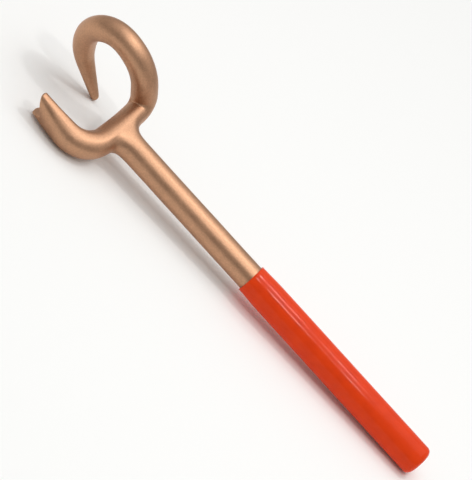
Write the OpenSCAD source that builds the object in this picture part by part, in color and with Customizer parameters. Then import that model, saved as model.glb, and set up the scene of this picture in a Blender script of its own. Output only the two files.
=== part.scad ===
// Hook wrench for hydrant and valve handwheels, with a notched claw, a round hook and a
// sleeve grip. The pieces are drawn in the tool's own axes: X runs along the shank towards
// the head, Y points to the claw's side, and Z points out of the front. lying() then turns
// them as the tool lies on a level surface. The origin lies on the shank's axis, halfway
// between the grip's mouth and the crossbar.

/* [Handle] */
// Overall length, from the grip's closed end to the crown of the hook
overall_length = 355; // [320:1:460]
// Diameter of the round shank
shank_d = 18.6; // [15:0.1:23]
// Length of the 45 degree chamfer on the shank's hidden end
shank_chamfer = 3; // [1:0.1:5]

/* [Grip] */
// Length of the grip sleeve
grip_length = 162; // [110:1:196]
// Wall of the sleeve along its straight run
grip_wall = 1.75; // [1.4:0.05:4]
// Wall of the sleeve at its open mouth
mouth_wall = 1.25; // [0.8:0.05:1.35]
// Length over which the wall grows from the mouth to the straight run
mouth_taper = 19; // [8:1:40]
// Thickness of the sleeve's closed end
end_wall = 3; // [2:0.1:6]
// Radius that rounds the closed end
end_round = 4.5; // [2:0.1:6]
// Gap between the shank and the sleeve's bore; 0 for a sleeve bonded to the bar
grip_gap = 0; // [0:0.05:0.3]

/* [Crossbar] */
// Thickness of the crossbar along the shank's direction
crossbar_w = 16; // [14:0.1:20]
// Front-to-back depth of the crossbar and of the claw arm
head_depth = 19.6; // [18:0.1:24]
// Radius in the crotch between the shank and the claw's side
claw_crotch_r = 8; // [4:0.5:12]
// Radius in the crotch between the shank and the hook's side
hook_crotch_r = 7; // [2:0.5:8]

/* [Claw] */
// Distance from the shank's axis to the middle plane of the claw arm
claw_offset = 29.3; // [27:0.1:36]
// Reach of the claw's front prong beyond the crossbar's centre line
claw_reach = 49.5; // [40:0.5:60]
// Radius of the bend from the crossbar into the claw arm
claw_bend_r = 20; // [14:0.5:24]
// Height of the arm's outer side at the tip
claw_tip_crown = 5.5; // [4:0.1:8]
// Height of the arm's outer side along the arm
claw_crown = 8; // [6:0.1:10]
// Height of the arm's flat inner side
claw_land = 2.5; // [1:0.1:3.5]
// Depth of the notch below the front prong
notch_depth = 8.6; // [5:0.1:10]
// Height of the rear prong above the bottom of the notch
rear_prong = 4.8; // [2:0.1:5]
// Distance of the notch's bottom behind the arm's middle
notch_back = 2.2; // [0:0.1:7.5]

/* [Hook] */
// Distance from the shank's axis to the plane that the hook is bent in
hook_offset = 29.4; // [25:0.1:35]
// Diameter of the hook's round bar
hook_d = 16.6; // [13:0.1:20]
// Diameter of the hook's point
hook_tip_d = 5.7; // [3:0.1:7]
// Angle at which the hook rises from the crossbar, towards the front
rise_angle = 58; // [45:1:65]
// Straight run between the root bend and the long bend
rise_run = 8; // [4:0.5:14]
// Radius of the long bend up the hook's back
back_bend_r = 36; // [28:0.5:44]
// Angle of the long bend up the hook's back
back_bend_angle = 55; // [40:1:60]
// Radius of the tight bend at the hook's crown
crown_bend_r = 18; // [15:0.5:24]
// Angle of the tight bend at the hook's crown
crown_bend_angle = 42; // [35:1:50]
// Radius of the bend that brings the bar back under
return_bend_r = 22; // [16:0.5:28]
// Angle of the bend that brings the bar back under
return_bend_angle = 64; // [50:1:75]
// Radius of the last, slack bend
point_bend_r = 39; // [30:0.5:50]
// Angle of the last, slack bend
point_bend_angle = 36; // [25:1:45]
// Straight run to the hook's point
point_run = 27; // [20:0.5:36]

/* [Quality] */
// Sides of the swept bar
bar_sides = 24; // [16:4:28]
// Length of one step along the swept bar
bar_step = 3.4; // [3:0.1:6]

/* [Hidden] */

FRONT = [0, 0, 1];
TO_HEAD = [1, 0, 0];
SIDE = [0, 1, 0];
tip_break = 1.2;        // rounding of the claw's end edges
root_slack = 1.0;       // radius left in the fold at the hook's root
taper_start = 60;       // round bar keeps its full diameter this far past the root bend
$fn = 96;

// Route of the bar that makes the claw, the crossbar and the hook, from the claw's tip to
// the hook's point. A move is [length, angle, axis]; an angle of 0 is a straight run.
root_bend_r = hook_d / 2 + root_slack;
rise_dir = [cos(rise_angle), 0, sin(rise_angle)];
root_axis = cross(-SIDE, rise_dir);
function bend(r, angle, axis) = [r * angle * PI / 180, angle, axis];
function run(length) = [length, 0, FRONT];
moves = [
    run(claw_reach - claw_bend_r),
    bend(claw_bend_r, 90, FRONT),
    run(claw_offset - claw_bend_r + hook_offset - root_bend_r),
    bend(root_bend_r, 90, root_axis),
    run(rise_run),
    bend(back_bend_r, back_bend_angle, SIDE),
    bend(crown_bend_r, crown_bend_angle, SIDE),
    bend(return_bend_r, return_bend_angle, SIDE),
    bend(point_bend_r, point_bend_angle, SIDE),
    run(point_run)
];
function upto(n) = n == 0 ? 0 : moves[n - 1][0] + upto(n - 1);
s_arm = upto(1);
s_corner = upto(2);
s_root = upto(3);
s_rise = upto(4);
s_point = upto(10);
s_taper = s_rise + taper_start;

// Half sizes of the bar's section at stations along the route: towards the outside of the
// jaw, towards the inside, and front to back. The claw arm is flat inside and crowned
// outside, the crossbar is an oval that swells into the jaw's corner, and the hook is round.
s_mid = (s_corner + s_root) / 2;
outer_half = [
    [0, claw_tip_crown], [14, claw_crown], [s_arm, claw_crown + 2.6],
    [(s_arm + s_corner) / 2, claw_crown + 1.6], [s_corner, crossbar_w / 2 - 1],
    [s_root, crossbar_w / 2 - 0.2], [s_rise, 0.53 * hook_d], [s_taper, 0.51 * hook_d],
    [s_taper + 32, 0.44 * hook_d], [s_point - 25, 0.34 * hook_d], [s_point, hook_tip_d / 2]
];
inner_half = [
    [0, claw_land], [14, claw_land], [s_arm, claw_land + 2],
    [(s_arm + s_corner) / 2, crossbar_w / 2 + 1.4], [s_corner, crossbar_w / 2 + 2],
    [s_mid, crossbar_w / 2 + 0.4], [s_root, crossbar_w / 2 + 0.2],
    [s_rise, 0.53 * hook_d], [s_taper, 0.51 * hook_d],
    [s_taper + 32, 0.44 * hook_d], [s_point - 25, 0.34 * hook_d], [s_point, hook_tip_d / 2]
];
depth_half = [
    [0, head_depth / 2], [s_corner, head_depth / 2 - 0.2], [s_root, head_depth / 2 - 0.8],
    [s_rise, 0.53 * hook_d], [s_taper, 0.51 * hook_d],
    [s_taper + 32, 0.44 * hook_d], [s_point - 25, 0.34 * hook_d], [s_point, hook_tip_d / 2]
];
// Squareness of each side: 2 is an ellipse, and more is flatter
outer_power = [[0, 3.2], [14, 2.8], [s_arm, 2.2], [s_corner, 2], [s_point, 2]];
inner_power = [[0, 3.4], [14, 3.4], [s_arm, 2.8], [s_corner, 2], [s_point, 2]];

// A pose is [place, direction, up]; along() carries it a fraction f through a move.
function turned(v, k, a) = v * cos(a) + cross(k, v) * sin(a) + k * (k * v) * (1 - cos(a));
function along(pose, m, f) =
    m[1] == 0
    ? [pose[0] + pose[1] * m[0] * f, pose[1], pose[2]]
    : let (r = m[0] / (m[1] * PI / 180), c = pose[0] + cross(m[2], pose[1]) * r, a = m[1] * f)
      [c + turned(pose[0] - c, m[2], a), turned(pose[1], m[2], a), turned(pose[2], m[2], a)];
function stops(m) = max(ceil(m[0] / bar_step), ceil(m[1] / 9), 1);
function route(pose, i = 0, s = 0) =
    i == len(moves) ? [] : concat(
        [for (k = [1 : stops(moves[i])])
            concat(along(pose, moves[i], k / stops(moves[i])),
                   [s + moves[i][0] * k / stops(moves[i])])],
        route(along(pose, moves[i], 1), i + 1, s + moves[i][0]));

// One ring of the bar at a stop, drawn with its section scaled by k and moved on by ahead.
function signed_power(v, p) = sign(v) * pow(abs(v), p);
function ring(stop, k = 1, ahead = 0) =
    let (
        s = stop[3],
        side = cross(stop[1], stop[2]),
        trim = (1 - k) * min(lookup(s, outer_half), lookup(s, depth_half)),
        place = stop[0] + stop[1] * ahead
    )
    [for (j = [0 : bar_sides - 1])
        let (
            a = 360 * (j + 0.5) / bar_sides,
            inside = cos(a) < 0,
            w = (inside ? lookup(s, inner_half) : lookup(s, outer_half)),
            p = 2 / (inside ? lookup(s, inner_power) : lookup(s, outer_power))
        )
        place + side * signed_power(cos(a), p) * max(w - trim, 0.2)
              + stop[2] * signed_power(sin(a), p) * (lookup(s, depth_half) - trim)];

// Skin over a list of rings, closed by its first and last ring.
module skin(rings) {
    n = len(rings[0]);
    last = len(rings) - 1;
    walls = [for (i = [0 : last - 1], j = [0 : n - 1])
        let (a = i * n + j, b = i * n + (j + 1) % n)
        each [[a, b, a + n], [b, b + n, a + n]]];
    polyhedron(
        points = [for (r = rings) each r],
        faces = concat(walls, [[for (j = [n - 1 : -1 : 0]) j]],
                       [[for (j = [0 : n - 1]) last * n + j]]),
        convexity = 6);
}

// Places along X, worked out from the hook's crown back to the grip.
start_pose = [[claw_reach, claw_offset, 0], -TO_HEAD, FRONT];
bar_stops = concat([concat(start_pose, [0])], route(start_pose));
crown_reach = max([for (q = bar_stops) max([for (p = ring(q)) p.x])]);
bare_length = overall_length - grip_length - crown_reach;
mouth_x = -bare_length / 2;
crossbar_x = bare_length / 2;
grip_end_x = mouth_x - grip_length;
core_end_x = grip_end_x + end_wall;

// The tool lies on the hook's point, the claw's rear edge and the grip's closed end. The roll
// brings the first two to one level, and the pitch brings the grip down to them.
hook_point = bar_stops[len(bar_stops) - 1][0] - [0, 0, hook_tip_d / 2];
claw_edge = [claw_offset + 0.75 * claw_tip_crown, -head_depth / 2];
lie_roll = atan((claw_edge[1] - hook_point.z) / (hook_point.y - claw_edge[0]));
head_level = hook_point.y * sin(lie_roll) + hook_point.z * cos(lie_roll);
grip_level = -shank_d / 2 - grip_gap - grip_wall;
lie_pitch = atan((head_level - grip_level)
    / (crossbar_x + hook_point.x - grip_end_x - end_round));
module lying() {
    rotate([lie_roll, lie_pitch, 0]) children();
}

// Claw, crossbar and hook: one bar with a chamfered claw end and a domed point
module head_bar() {
    first = bar_stops[0];
    last = bar_stops[len(bar_stops) - 1];
    body_rings = [for (i = [1 : len(bar_stops) - 1]) ring(bar_stops[i])];
    skin(concat(
        [ring(first, 0.8, 0), ring(first, 1, tip_break)],
        body_rings,
        [for (a = [30, 60, 80]) ring(last, cos(a), hook_tip_d / 2 * sin(a))]));
}

// Shoulder where the shank spreads into the crossbar, with a radius in each crotch
module shoulder() {
    flank = -crossbar_w / 2 + 1;
    sink = 0.4;
    function spread(x, r) =
        x <= flank - r ? 0 : r - sqrt(max(r * r - pow(x - flank + r, 2), 0));
    xs = [for (k = [0 : 10]) flank - claw_crotch_r * (1 - k / 10)];
    function slice(x) =
        let (up = shank_d / 2 - sink + spread(x, claw_crotch_r),
             down = shank_d / 2 - sink + spread(x, hook_crotch_r))
        [for (j = [0 : bar_sides - 1])
            let (a = -360 * (j + 0.5) / bar_sides)
            [x, cos(a) * (cos(a) > 0 ? up : down), sin(a) * (shank_d / 2 - sink)]];
    skin([for (x = concat(xs, [0])) slice(x)]);
}

// Notch across the claw's end: a long front flank, and a shorter one up to the rear prong
module notch() {
    bottom_x = claw_reach - notch_depth;
    clear = 5;
    rotate([90, 0, 0])
        linear_extrude(height = 4 * claw_crown, center = true)
            polygon([
                [claw_reach + tip_break / 2, head_depth / 2 - tip_break],
                [bottom_x, -notch_back],
                [bottom_x + rear_prong, -head_depth / 2],
                [bottom_x + rear_prong, -head_depth / 2 - clear],
                [claw_reach + clear, -head_depth / 2 - clear],
                [claw_reach + clear, head_depth / 2 - tip_break]
            ]);
}

// One-piece forged body: claw, crossbar, hook and shank
module wrench_body() {
    shank_start = core_end_x + shank_chamfer;
    color("#C49A74") lying() {
        translate([crossbar_x, 0, 0]) {
            difference() {
                head_bar();
                translate([0, claw_offset + claw_crown / 2, 0]) notch();
            }
            shoulder();
        }
        translate([shank_start, 0, 0]) rotate([0, 90, 0])
            cylinder(h = crossbar_x - shank_start, d = shank_d);
        translate([core_end_x, 0, 0]) rotate([0, 90, 0])
            cylinder(h = shank_chamfer, d1 = shank_d - 2 * shank_chamfer, d2 = shank_d);
    }
}

// Sleeve grip: a closed-end cup drawn over the shank
module grip_sleeve() {
    bore_r = shank_d / 2 + grip_gap;
    body_r = bore_r + grip_wall;
    lip = mouth_wall / 3;
    floor_x = end_wall - grip_gap;
    color("#E0431F") lying()
        translate([grip_end_x, 0, 0]) rotate([90, 0, 90]) rotate_extrude()
            polygon(concat(
                [[0, 0]],
                [for (a = [0 : 15 : 90])
                    [body_r - end_round + end_round * sin(a), end_round - end_round * cos(a)]],
                [[body_r, grip_length - mouth_taper],
                 [bore_r + mouth_wall, grip_length - lip],
                 [bore_r + mouth_wall - lip, grip_length],
                 [bore_r, grip_length],
                 [bore_r, floor_x + shank_chamfer],
                 [bore_r - shank_chamfer, floor_x],
                 [0, floor_x]]));
}

wrench_body();
grip_sleeve();
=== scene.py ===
from math import asin, atan, ceil, cos, pi, radians, sin, tau

import bmesh
import bpy
import numpy as np
from mathutils import Matrix, Quaternion, Vector, noise


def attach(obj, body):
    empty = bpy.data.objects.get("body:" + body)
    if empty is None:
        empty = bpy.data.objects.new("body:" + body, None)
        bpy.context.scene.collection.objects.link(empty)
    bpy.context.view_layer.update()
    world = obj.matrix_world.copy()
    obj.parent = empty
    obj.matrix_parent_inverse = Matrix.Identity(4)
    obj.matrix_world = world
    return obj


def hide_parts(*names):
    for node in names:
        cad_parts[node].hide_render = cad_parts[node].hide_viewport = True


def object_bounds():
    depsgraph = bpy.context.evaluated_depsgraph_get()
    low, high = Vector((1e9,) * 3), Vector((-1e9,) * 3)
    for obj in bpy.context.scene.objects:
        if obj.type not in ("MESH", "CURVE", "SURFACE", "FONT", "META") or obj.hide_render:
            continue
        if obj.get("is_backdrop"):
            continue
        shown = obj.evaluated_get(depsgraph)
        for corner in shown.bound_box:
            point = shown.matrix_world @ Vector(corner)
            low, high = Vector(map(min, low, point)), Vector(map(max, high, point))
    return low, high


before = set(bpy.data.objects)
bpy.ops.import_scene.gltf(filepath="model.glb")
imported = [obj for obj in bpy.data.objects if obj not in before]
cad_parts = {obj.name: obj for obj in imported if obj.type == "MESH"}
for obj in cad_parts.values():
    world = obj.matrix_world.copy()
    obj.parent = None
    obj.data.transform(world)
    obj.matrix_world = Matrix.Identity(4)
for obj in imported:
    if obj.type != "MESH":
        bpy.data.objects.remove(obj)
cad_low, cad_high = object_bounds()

# ---------------------------------------------------------------------------
# Camera
# A long lens on the claw's side, about 32 degrees above the floor. It is rolled so that the
# tool lies across the picture from its upper left to its lower right.
# ---------------------------------------------------------------------------
CAMERA_ELEVATION = radians(31.64)
CAMERA_SWING = radians(3.47)        # from +Y towards +X
CAMERA_ROLL = radians(47.84)
CAMERA_DISTANCE = 3.0
SENSOR_WIDTH = 36.0
VIEW_SHARE = 0.851                  # the view's width at the tool, as a share of the tool's length
AIM_SHARE = (0.5251, 0.45, 0.3455)  # the point aimed at, as shares of the tool's box

cad_size = cad_high - cad_low
aim = cad_low + Vector([share * size for share, size in zip(AIM_SHARE, cad_size)])
to_camera = Vector((
    sin(CAMERA_SWING) * cos(CAMERA_ELEVATION),
    cos(CAMERA_SWING) * cos(CAMERA_ELEVATION),
    sin(CAMERA_ELEVATION),
))
level_right = Vector((0, 0, 1)).cross(to_camera).normalized()
level_up = to_camera.cross(level_right)
view_right = level_right * cos(CAMERA_ROLL) + level_up * sin(CAMERA_ROLL)
view_up = level_up * cos(CAMERA_ROLL) - level_right * sin(CAMERA_ROLL)


def add_object(name, data):
    """Puts a new object into the scene."""
    made = bpy.data.objects.new(name, data)
    bpy.context.scene.collection.objects.link(made)
    return made


camera_data = bpy.data.cameras.new("camera")
camera_data.sensor_fit = "HORIZONTAL"
camera_data.sensor_width = SENSOR_WIDTH
camera_data.lens = SENSOR_WIDTH * CAMERA_DISTANCE / (VIEW_SHARE * cad_size.x)
camera = add_object("camera", camera_data)
camera.matrix_world = (
    Matrix.Translation(aim + to_camera * CAMERA_DISTANCE)
    @ Matrix((view_right, view_up, to_camera)).transposed().to_4x4()
)
bpy.context.scene.camera = camera

# ---------------------------------------------------------------------------
# Wrench body
# One hot forging in a non-sparking copper alloy: claw, crossbar, hook and shank in one
# piece, with the shank running on inside the grip. It is trimmed, ground and blasted.
# ---------------------------------------------------------------------------
MM = 0.001

# The tool is drawn in millimetres and in its own axes, from the crossbar's middle: X along the
# shank to the head, Y to the claw's side and Z out of the front.

# Shank and grip
OVERALL_LENGTH = 355.0
GRIP_LENGTH = 162.0
GRIP_R = 11.05
GRIP_END_WALL = 3.0
GRIP_END_ROUND = 4.5
SHANK_R = 9.3
SHANK_CHAMFER = 3.0

# Crossbar
CROWN_REACH = 66.1       # from the crossbar's middle to the crown of the hook
CROSSBAR_W = 16.0
HEAD_DEPTH = 19.6
CLAW_CROTCH_R = 8.0
HOOK_CROTCH_R = 7.0
CROTCH_SHARE = 0.72      # share of the claw's crotch that the shank's opening takes in
FILLET_REACH = 1.25      # the shank's fillets start this many crotch radii from the crossbar

# Claw arm
CLAW_OFFSET = 29.3
CLAW_REACH = 49.5
CLAW_BEND_R = 20.0
CLAW_END_RUN = 14.0      # the claw's end has a section of its own over this length
CLAW_TIP_CROWN = 5.5
CLAW_CROWN = 8.0
CLAW_LAND = 4.4
NOTCH_DEPTH = 9.4
REAR_PRONG = 6.2
NOTCH_BACK = 3.2
NOTCH_BLEND = 16.0       # the notch's slant fades out of the arm's sections over this length
TIP_ROUND = 0.7          # rounding of the claw's end edges
REST_SHARE = 0.75        # the claw lies on its rear edge this far out on its crown

# Hook
HOOK_OFFSET = 29.4
HOOK_D = 16.6
HOOK_TIP_D = 5.7
ROOT_BEND_R = HOOK_D / 2 + 1.0
RISE_ANGLE = radians(58)
RISE_RUN = 8.0
HOOK_BENDS = ((36.0, 55), (18.0, 42), (22.0, 64), (39.0, 36))  # radius and degrees, from the root
POINT_RUN = 27.0
FULL_RUN = 60.0          # the hook keeps its full thickness over this length
TAPER_RUN = 32.0
POINT_TAPER_RUN = 25.0
HOOK_FULLNESS = (1.06, 1.06, 0.91, 0.69)  # shares of its diameter at the stops before its point

# Route of the bar from the claw's tip to the hook's point. A move is a length, an angle and
# an axis; an angle of 0 is a straight run.
TO_HEAD = Vector((1, 0, 0))
SIDE = Vector((0, 1, 0))
FRONT = Vector((0, 0, 1))
rise_direction = TO_HEAD * cos(RISE_ANGLE) + FRONT * sin(RISE_ANGLE)


def bend(radius, angle_deg, axis):
    return radius * radians(angle_deg), radians(angle_deg), axis


def run(length):
    return length, 0.0, FRONT


moves = [
    run(CLAW_REACH - CLAW_BEND_R),
    bend(CLAW_BEND_R, 90, FRONT),
    run(CLAW_OFFSET - CLAW_BEND_R + HOOK_OFFSET - ROOT_BEND_R),
    bend(ROOT_BEND_R, 90, (-SIDE).cross(rise_direction)),
    run(RISE_RUN),
]
moves += [bend(radius, angle_deg, SIDE) for radius, angle_deg in HOOK_BENDS]
moves.append(run(POINT_RUN))
s_arm, s_corner, s_root, s_rise = np.cumsum([m[0] for m in moves[:4]])
s_point = sum(m[0] for m in moves)


def walk(s):
    """Place, direction and up of the bar's centre line at distance s from the claw's tip."""
    place = Vector((CLAW_REACH, CLAW_OFFSET, 0))
    ahead, up = -TO_HEAD, FRONT.copy()
    for length, angle, axis in moves:
        part = min(s, length)
        s -= part
        if angle:
            centre = place + axis.cross(ahead) * (length / angle)
            turn = Quaternion(axis, angle * part / length)
            place = centre + turn @ (place - centre)
            ahead, up = turn @ ahead, turn @ up
        else:
            place = place + ahead * part
        if s <= 0:
            break
    return place, ahead, up


# Half sizes of the section along the route. The claw arm is flat inside and crowned outside,
# the crossbar is an oval that swells into the jaw's corner, and the hook is round.
half_w = CROSSBAR_W / 2
half_depth = HEAD_DEPTH / 2
s_bend = (s_arm + s_corner) / 2
s_mid = (s_corner + s_root) / 2
s_full = s_rise + FULL_RUN
hook_stops = [s_rise, s_full, s_full + TAPER_RUN, s_point - POINT_TAPER_RUN, s_point]
hook_radii = [share * (HOOK_D / 2) for share in HOOK_FULLNESS] + [HOOK_TIP_D / 2]
outer_half = (
    [0, CLAW_END_RUN, s_arm, s_bend, s_corner, s_root] + hook_stops,
    [CLAW_TIP_CROWN, CLAW_CROWN, CLAW_CROWN + 2.6, CLAW_CROWN + 1.6, half_w - 1, half_w - 0.2]
    + hook_radii,
)
inner_half = (
    [0, CLAW_END_RUN, s_arm, s_bend, s_corner, s_mid, s_root] + hook_stops,
    [CLAW_LAND, CLAW_LAND, CLAW_LAND + 1.4, half_w + 1.4, half_w + 2, half_w + 0.4, half_w + 0.2]
    + hook_radii,
)
depth_half = (
    [0, s_corner, s_root] + hook_stops,
    [half_depth, half_depth - 0.2, half_depth - 0.8] + hook_radii,
)
# Squareness of each side along the route: 2 is an ellipse, and more is flatter
square_stops = [0, CLAW_END_RUN, s_arm, s_corner, s_point]
front_square = [2.4, 2.4, 2.2, 2, 2]
rear_square = [3.6, 3.4, 2.6, 2, 2]
inner_square = [2.8, 2.8, 2.6, 2, 2]

BAR_SIDES = 24
QUARTER = BAR_SIDES // 4


def smooth_swell(sides):
    """How much a ring is drawn oversize, because subdivision pulls a polygon in."""
    return 6 / (4 + 2 * cos(tau / sides))


def notch_back(z):
    """How far the claw's end lies behind the front prong's tip, at height z on the arm."""
    return np.interp(
        z, [-half_depth, -NOTCH_BACK, half_depth - 0.8], [NOTCH_DEPTH - REAR_PRONG, NOTCH_DEPTH, 0])


def bar_ring(s, inset=0.0):
    """The bar's section at s. Side 0 faces outwards, and the side a quarter on is the front."""
    place, ahead, up = walk(s)
    side = ahead.cross(up)
    swell = smooth_swell(BAR_SIDES)
    points = []
    for j in range(BAR_SIDES):
        c, t = cos(tau * j / BAR_SIDES), sin(tau * j / BAR_SIDES)
        half = outer_half if c > 0 else inner_half
        square = inner_square if c <= 0 else front_square if t > 0 else rear_square
        across_bow = 2 / np.interp(s, square_stops, square)
        out_bow = 2 / np.interp(s, square_stops, front_square)
        across = (np.interp(s, *half) - inset) * np.copysign(abs(c) ** across_bow, c)
        out = (np.interp(s, *depth_half) - inset) * np.copysign(abs(t) ** out_bow, t)
        slant = notch_back(out) * max(0.0, 1 - s / NOTCH_BLEND)
        points.append(place + side * (across * swell) + up * (out * swell) + ahead * slant)
    return points


cage = bmesh.new()
crease = cage.edges.layers.float.new("crease_edge")


def add_ring(points):
    return [cage.verts.new(p) for p in points]


def skin(ring_a, ring_b, skip=()):
    """Faces between two rings, apart from the sides to skip."""
    count = len(ring_a)
    for j in range(count):
        if j not in skip:
            k = (j + 1) % count
            cage.faces.new((ring_a[j], ring_a[k], ring_b[k], ring_b[j]))


# Stops of the rings, closer where the bar bends. The shank leaves the bar's outer side
# between the two crotch stops.
corner_r = CLAW_BEND_R + half_w
crotch_s = s_corner - corner_r * asin(CLAW_CROTCH_R / corner_r) * CROTCH_SHARE
hook_crotch_s = s_root - (HOOK_OFFSET - ROOT_BEND_R - SHANK_R - HOOK_CROTCH_R)
SHANK_STEPS = 4
HOOK_RING_GAP = 4.2
bar_stops = np.concatenate([
    [0.0, TIP_ROUND, 2 * TIP_ROUND + 0.6],
    np.linspace(5, s_arm, 7),
    np.linspace(s_arm, crotch_s, 7)[1:],
    np.linspace(crotch_s, hook_crotch_s, SHANK_STEPS + 1)[1:],
    [s_root - 2.0],
    np.linspace(s_root, s_rise, 7),
    np.linspace(s_rise, s_point, ceil((s_point - s_rise) / HOOK_RING_GAP))[1:],
])
first_open = int(np.argmin(abs(bar_stops - crotch_s)))
OPEN_SIDE = 5            # the shank's opening reaches this many sides each way round the bar
rings = [add_ring(bar_ring(s, TIP_ROUND if s == 0 else 0.0)) for s in bar_stops]
for i in range(len(rings) - 1):
    opened = first_open <= i < first_open + SHANK_STEPS
    skip = [j % BAR_SIDES for j in range(-OPEN_SIDE, OPEN_SIDE)] if opened else ()
    skin(rings[i], rings[i + 1], skip)

# Claw's end: a strip of faces across the arm, from the front edge over the notch to the back
end = rings[0]
for k in range(2 * QUARTER):
    left, right = (QUARTER + k) % BAR_SIDES, (QUARTER - k) % BAR_SIDES
    left_next, right_next = (QUARTER + k + 1) % BAR_SIDES, (QUARTER - k - 1) % BAR_SIDES
    corners = [end[left], end[left_next], end[right_next], end[right]]
    cage.faces.new(list(dict.fromkeys(corners)))


def sharpen(vertex_a, vertex_b, sharpness):
    """Keeps an edge of the cage sharp when it is subdivided: 0 is smooth, and 1 is a corner."""
    cage.edges.get((vertex_a, vertex_b))[crease] = sharpness


NOTCH_ROW = 1            # the notch's bottom lies this many sides behind the arm's middle
notch_sides = (-NOTCH_ROW % BAR_SIDES, 2 * QUARTER + NOTCH_ROW)
sharpen(end[notch_sides[0]], end[notch_sides[1]], 1.0)
for j in range(BAR_SIDES):
    sharpen(end[j - 1], end[j], 0.9)
    sharpen(rings[1][j - 1], rings[1][j], 0.5)
for j in notch_sides:
    sharpen(end[j], rings[1][j], 1.0)
    sharpen(rings[1][j], rings[2][j], 0.7)

# Trimming leaves a ridge along the claw arm, between its front face and its outer side
RIDGE = QUARTER - 1
RIDGE_SHARPNESS = 0.7
for i in range(len(rings) - 1):
    fade = 1 - bar_stops[i] / s_bend
    if fade > 0:
        sharpen(rings[i][RIDGE], rings[i + 1][RIDGE], RIDGE_SHARPNESS * fade ** 0.4)

# Hook's point: a dome
last_place, last_ahead, _ = walk(s_point)
previous = rings[-1]
for a in (radians(35), radians(65), radians(84)):
    ring = add_ring([
        last_place + (v.co - last_place) * cos(a) + last_ahead * (HOOK_TIP_D / 2 * sin(a))
        for v in rings[-1]
    ])
    skin(ring, previous)
    previous = ring
cage.faces.new(previous)

# Shank: it grows out of the crossbar's opening through a radius in each crotch
rim = (
    [rings[first_open + i][OPEN_SIDE] for i in range(SHANK_STEPS + 1)]
    + [rings[first_open + SHANK_STEPS][j] for j in range(OPEN_SIDE - 1, -OPEN_SIDE, -1)]
    + [rings[first_open + SHANK_STEPS - i][-OPEN_SIDE] for i in range(SHANK_STEPS + 1)]
    + [rings[first_open][j] for j in range(1 - OPEN_SIDE, OPEN_SIDE)]
)
SHANK_SIDES = len(rim)
first_angle = 90 - 180 * SHANK_STEPS / SHANK_SIDES


def shank_ring(x_at, r=SHANK_R):
    """A ring round the shank, whose place along it x_at gives for each angle."""
    r *= smooth_swell(SHANK_SIDES)
    angles = [radians(first_angle + 360 * k / SHANK_SIDES) for k in range(SHANK_SIDES)]
    return [Vector((x_at(a), r * cos(a), r * sin(a))) for a in angles]


def fillet_start(a):
    crotch_r = (CLAW_CROTCH_R + HOOK_CROTCH_R) / 2 + (CLAW_CROTCH_R - HOOK_CROTCH_R) / 2 * cos(a)
    return 1 - half_w - FILLET_REACH * crotch_r


shank_root = shank_ring(fillet_start)
previous = rim
for t in (0.78, 0.55, 0.32, 0.12):
    points = []
    for start, goal in zip(shank_root, rim):
        corner = Vector((goal.co.x, start.y, start.z))
        points.append(start * (1 - t) ** 2 + corner * (2 * t * (1 - t)) + goal.co * t * t)
    ring = add_ring(points)
    skin(previous, ring)
    previous = ring

bare_length = OVERALL_LENGTH - GRIP_LENGTH - CROWN_REACH
crossbar_x = bare_length / 2
mouth_x = -bare_length / 2
core_end = mouth_x - GRIP_LENGTH + GRIP_END_WALL - crossbar_x
chamfer_start = core_end + SHANK_CHAMFER
# Stops and radii of its rings, from the fillets to the chamfer inside the grip's closed end
shank_stops = [(fillet_start(pi) - 6, SHANK_R)]
shank_stops += [(x, SHANK_R) for x in np.linspace(-24, chamfer_start + 1, 16)]
shank_stops += [(chamfer_start, SHANK_R), (chamfer_start - 0.6, SHANK_R - 0.6)]
shank_stops += [(core_end, SHANK_R - SHANK_CHAMFER)]
for x, r in shank_stops:
    ring = add_ring(shank_ring(lambda a: float(x), r))
    skin(previous, ring)
    previous = ring
cage.faces.new(previous)
bmesh.ops.recalc_face_normals(cage, faces=cage.faces)

# The tool lies on the hook's point, the claw's rear edge and the grip's closed end
point_low = last_place - FRONT * (HOOK_TIP_D / 2)
edge_y = CLAW_OFFSET + REST_SHARE * CLAW_TIP_CROWN
lie_roll = atan((-half_depth - point_low.z) / (point_low.y - edge_y))
head_level = point_low.y * sin(lie_roll) + point_low.z * cos(lie_roll)
grip_end_x = mouth_x - GRIP_LENGTH
lie_length = crossbar_x + point_low.x - grip_end_x - GRIP_END_ROUND
lie_pitch = atan((head_level + GRIP_R) / lie_length)
lying = (
    Matrix.Rotation(lie_pitch, 4, "Y") @ Matrix.Rotation(lie_roll, 4, "X") @ Matrix.Scale(MM, 4))
cage.transform(lying @ Matrix.Translation((crossbar_x, 0, 0)))

cage_mesh = bpy.data.meshes.new("wrench_body_cage")
cage.to_mesh(cage_mesh)
cage.free()
body_cage = add_object("wrench_body_cage", cage_mesh)
smoothing = body_cage.modifiers.new("forged_blend", "SUBSURF")
smoothing.levels = smoothing.render_levels = 2
graph = bpy.context.evaluated_depsgraph_get()
body_mesh = bpy.data.meshes.new_from_object(body_cage.evaluated_get(graph))
bpy.data.objects.remove(body_cage)
body_mesh.shade_smooth()
wrench = add_object("forged_wrench_body", body_mesh)


def waver(mesh, wave, depth):
    """Moves a mesh's surface in and out by noise of a given wavelength and depth."""
    normals = [v.normal.copy() for v in mesh.vertices]
    places = [v.co + n * (depth * noise.noise(v.co / wave)) for v, n in zip(mesh.vertices, normals)]
    mesh.vertices.foreach_set("co", np.array(places).ravel())
    mesh.update()


# Hand grinding and blasting leave the surface very slightly uneven
waver(wrench.data, wave=17 * MM, depth=0.08 * MM)


def linear(hex_colour):
    """sRGB hex to linear RGBA."""
    channels = [int(hex_colour[i:i + 2], 16) / 255 for i in (1, 3, 5)]
    return [c / 12.92 if c <= 0.04045 else ((c + 0.055) / 1.055) ** 2.4 for c in channels] + [1.0]


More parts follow.
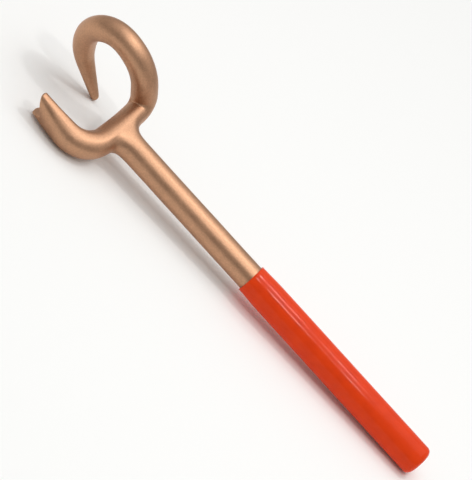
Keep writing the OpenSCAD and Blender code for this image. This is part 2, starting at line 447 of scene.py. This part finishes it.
def node(tree, kind, settings=None, links=None):
    """Adds a shader node. Settings name its properties or inputs, links its inputs' sources."""
    made = tree.nodes.new(kind)
    for key, value in (settings or {}).items():
        if isinstance(key, str) and hasattr(made, key):
            setattr(made, key, value)
        else:
            made.inputs[key].default_value = value
    for key, source in (links or {}).items():
        tree.links.new(source, made.inputs[key])
    return made


# Blasted aluminium bronze: a warm satin metal. Blasting leaves a fine even grain that spreads
# the highlights, and forging scale under it leaves soft darker and lighter clouds.
GRIT = 1.1 * MM          # the real pits are about 0.15 mm, drawn coarser so that they show
SCALE_CLOUD = 11 * MM
BRONZE_TONES = ((0.32, "#BA8F71"), (0.70, "#C69979"))

bronze = bpy.data.materials.new("aluminium_bronze_blasted")
bronze.use_nodes = True
tree = bronze.node_tree
tree.nodes.clear()
coords = node(tree, "ShaderNodeTexCoord")
grain = node(tree, "ShaderNodeTexNoise",
             {"Scale": 1 / GRIT, "Detail": 3.0, "Roughness": 0.6},
             {"Vector": coords.outputs["Object"]})
clouds = node(tree, "ShaderNodeTexNoise",
              {"Scale": 1 / SCALE_CLOUD, "Detail": 4.0, "Roughness": 0.55},
              {"Vector": coords.outputs["Object"]})
tone = node(tree, "ShaderNodeValToRGB", links={"Fac": clouds.outputs["Fac"]})
for stop, (position, colour) in zip(tone.color_ramp.elements, BRONZE_TONES):
    stop.position = position
    stop.color = linear(colour)
fleck = node(tree, "ShaderNodeMapRange",
             {"From Min": 0.3, "From Max": 0.7, "To Min": 0.88, "To Max": 1.1},
             {"Value": grain.outputs["Fac"]})
tinted = node(tree, "ShaderNodeVectorMath", {"operation": "SCALE"},
              {0: tone.outputs["Color"], "Scale": fleck.outputs["Result"]})
satin = node(tree, "ShaderNodeMapRange",
             {"From Min": 0.3, "From Max": 0.7, "To Min": 0.40, "To Max": 0.47},
             {"Value": clouds.outputs["Fac"]})
pits = node(tree, "ShaderNodeBump", {"Strength": 0.5, "Distance": 0.15 * MM},
            {"Height": grain.outputs["Fac"]})
metal = node(tree, "ShaderNodeBsdfPrincipled", {"Metallic": 1.0},
             {"Base Color": tinted.outputs["Vector"], "Roughness": satin.outputs["Result"],
              "Normal": pits.outputs["Normal"]})
node(tree, "ShaderNodeOutputMaterial", links={"Surface": metal.outputs["BSDF"]})

wrench.data.materials.clear()
wrench.data.materials.append(bronze)
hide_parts("wrench_body")
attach(wrench, "root")

# ---------------------------------------------------------------------------
# Grip sleeve
# A closed-end sleeve of soft PVC, made by dipping the handle. Its wall thins towards the
# mouth, its closed end is rounded, and its skin is glossy.
# ---------------------------------------------------------------------------
MOUTH_R = 10.55
MOUTH_TAPER = 19.0
END_DOME = 0.5
LIP_R = 0.42
BORE_EDGE = 0.15
GRIP_SIDES = 128

# Half section, as distances from the closed end and radii: out over the closed end, along
# the outside, round the lip and back down the bore
end_flat_r = GRIP_R - GRIP_END_ROUND
taper_start = GRIP_LENGTH - MOUTH_TAPER
profile = [(0.0, 0.0)]
profile += [(END_DOME * (r / end_flat_r) ** 2, r) for r in np.linspace(1.2, end_flat_r, 5)]
profile += [
    (END_DOME + (GRIP_END_ROUND - END_DOME) * (1 - cos(a)), end_flat_r + GRIP_END_ROUND * sin(a))
    for a in np.linspace(0, pi / 2, 11)[1:]
]
profile += [(x, GRIP_R) for x in np.linspace(GRIP_END_ROUND, taper_start, 30)[1:]]
profile += [
    (taper_start + MOUTH_TAPER * t, GRIP_R + (MOUTH_R - GRIP_R) * t * t * (3 - 2 * t))
    for t in np.linspace(0, 1, 11)[1:-1]
]
profile += [
    (GRIP_LENGTH - LIP_R + LIP_R * sin(a), MOUTH_R - LIP_R + LIP_R * cos(a))
    for a in np.linspace(0, pi / 2, 6)
]
profile += [(GRIP_LENGTH, SHANK_R + BORE_EDGE), (GRIP_LENGTH - BORE_EDGE, SHANK_R)]
profile += [(x, SHANK_R) for x in np.linspace(GRIP_LENGTH - 1, GRIP_END_WALL + SHANK_CHAMFER, 20)]
profile += [(GRIP_END_WALL, SHANK_R - SHANK_CHAMFER), (GRIP_END_WALL, 0.0)]

cage = bmesh.new()
previous = []
for x, r in profile:
    around = [tau * j / GRIP_SIDES for j in range(GRIP_SIDES if r else 1)]
    ring = add_ring([(x, r * cos(a), r * sin(a)) for a in around])
    for j in range(GRIP_SIDES if previous else 0):
        k = (j + 1) % GRIP_SIDES
        if len(previous) == 1:
            cage.faces.new((previous[0], ring[j], ring[k]))
        elif len(ring) == 1:
            cage.faces.new((previous[k], previous[j], ring[0]))
        else:
            cage.faces.new((previous[j], ring[j], ring[k], previous[k]))
    previous = ring
bmesh.ops.recalc_face_normals(cage, faces=cage.faces)
cage.transform(lying @ Matrix.Translation((grip_end_x, 0, 0)))
grip_mesh = bpy.data.meshes.new("dipped_grip")
cage.to_mesh(grip_mesh)
cage.free()
grip_mesh.shade_smooth()
grip = add_object("dipped_grip", grip_mesh)

# Dipping leaves the skin a little wavy along its length
waver(grip.data, wave=30 * MM, depth=0.05 * MM)

# Dipped PVC: an opaque orange red with a wet, glossy skin. The skin flows as it cures, so its
# highlights are sharp but waver a little.
SKIN_FLOW = 9 * MM
ORANGE_PEEL = 1.6 * MM
PVC_TONES = ((0.3, "#DF3E12"), (0.7, "#E84313"))

pvc = bpy.data.materials.new("pvc_dipped_gloss")
pvc.use_nodes = True
tree = pvc.node_tree
tree.nodes.clear()
coords = node(tree, "ShaderNodeTexCoord")
flow = node(tree, "ShaderNodeTexNoise",
            {"Scale": 1 / SKIN_FLOW, "Detail": 2.0, "Roughness": 0.5},
            {"Vector": coords.outputs["Object"]})
peel = node(tree, "ShaderNodeTexNoise", {"Scale": 1 / ORANGE_PEEL, "Detail": 2.0},
            {"Vector": coords.outputs["Object"]})
tone = node(tree, "ShaderNodeValToRGB", links={"Fac": flow.outputs["Fac"]})
for stop, (position, colour) in zip(tone.color_ramp.elements, PVC_TONES):
    stop.position = position
    stop.color = linear(colour)
smear = node(tree, "ShaderNodeMapRange",
             {"From Min": 0.3, "From Max": 0.7, "To Min": 0.05, "To Max": 0.09},
             {"Value": flow.outputs["Fac"]})
ripple = node(tree, "ShaderNodeBump", {"Strength": 0.06, "Distance": 0.1 * MM},
              {"Height": peel.outputs["Fac"]})
gloss = node(tree, "ShaderNodeBsdfPrincipled", {"IOR": 1.53, "Specular IOR Level": 0.12},
             {"Base Color": tone.outputs["Color"], "Roughness": smear.outputs["Result"],
              "Normal": ripple.outputs["Normal"]})
node(tree, "ShaderNodeOutputMaterial", links={"Surface": gloss.outputs["BSDF"]})

grip.data.materials.append(pvc)
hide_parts("grip_sleeve")
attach(grip, "root")

# ---------------------------------------------------------------------------
# Floor and light
# A plain white table under an overhead softbox and four bare tubes, in a pale room that is
# brighter towards its ceiling and darker on the camera's side.
# ---------------------------------------------------------------------------
low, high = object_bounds()
TABLE_HALF = 4.0
table_mesh = bpy.data.meshes.new("table_top")
table_mesh.from_pydata(
    [(x, y, low.z) for x, y in ((-1, -1), (1, -1), (1, 1), (-1, 1))], [], [(0, 1, 2, 3)])
table_mesh.transform(Matrix.Diagonal((TABLE_HALF, TABLE_HALF, 1, 1)))
table_top = add_object("table_top", table_mesh)

# Matt white laminate: it shows soft shadows and no reflections
laminate = bpy.data.materials.new("laminate_matt_white")
laminate.use_nodes = True
matt = laminate.node_tree.nodes["Principled BSDF"]
matt.inputs["Base Color"].default_value = linear("#FAFAF8")
matt.inputs["Roughness"].default_value = 0.9
table_top.data.materials.append(laminate)
table_top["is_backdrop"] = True

TUBE_DISTANCE = 1.4
TUBE_WIDTH = 0.08


def area_light(name, tilt_deg, distance, length, width, power, along=0.0):
    """An area light that faces the tool from overhead, tilted about X towards the camera's
    side and moved along the shank towards the head. Sizes are in metres, power in watts."""
    data = bpy.data.lights.new(name, "AREA")
    data.shape = "RECTANGLE"
    data.size, data.size_y = length, width
    data.energy = power
    out = Vector((0, sin(radians(tilt_deg)), cos(radians(tilt_deg))))
    centre = (low + high) / 2 + TO_HEAD * along
    light = add_object(name, data)
    light.matrix_world = (
        Matrix.Translation(centre + out * distance)
        @ Matrix((TO_HEAD, out.cross(TO_HEAD), out)).transposed().to_4x4()
    )


area_light("overhead_softbox", -9, 1.5, length=1.5, width=1.7, power=6.5)
# A long and a short tube in each of two rows, one under the softbox and one beside it on the
# camera's side, draw thin bright lines along the grip
for tilt_deg in (27.4, -3.4):
    area_light("tube_long", tilt_deg, TUBE_DISTANCE, 0.142, TUBE_WIDTH, power=1.6, along=-0.1686)
    area_light("tube_short", tilt_deg, TUBE_DISTANCE, 0.037, TUBE_WIDTH, power=0.42, along=-0.3016)

WALL_LIGHT = 0.42
CEILING_LIGHT = 0.90
CAMERA_SIDE_SHARE = 0.55
world = bpy.data.worlds.new("studio")
bpy.context.scene.world = world
world.use_nodes = True
tree = world.node_tree
tree.nodes.clear()
coords = node(tree, "ShaderNodeTexCoord")
direction = node(tree, "ShaderNodeSeparateXYZ", links={"Vector": coords.outputs["Generated"]})
height = node(tree, "ShaderNodeMath", {"operation": "POWER", "use_clamp": True, 1: 1.3},
              {0: direction.outputs["Z"]})
dome = node(tree, "ShaderNodeMapRange", {"To Min": WALL_LIGHT, "To Max": CEILING_LIGHT},
            {"Value": height.outputs["Value"]})
facing = node(tree, "ShaderNodeMapRange",
              {"interpolation_type": "SMOOTHSTEP", "To Min": 1.0, "To Max": CAMERA_SIDE_SHARE},
              {"Value": direction.outputs["Y"]})
strength = node(tree, "ShaderNodeMath", {"operation": "MULTIPLY"},
                {0: dome.outputs["Result"], 1: facing.outputs["Result"]})
background = node(tree, "ShaderNodeBackground", {"Color": (1, 1, 1, 1)},
                  {"Strength": strength.outputs["Value"]})
node(tree, "ShaderNodeOutputWorld", links={"Surface": background.outputs["Background"]})
bpy.context.scene.view_settings.view_transform = "Standard"

low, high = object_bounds()
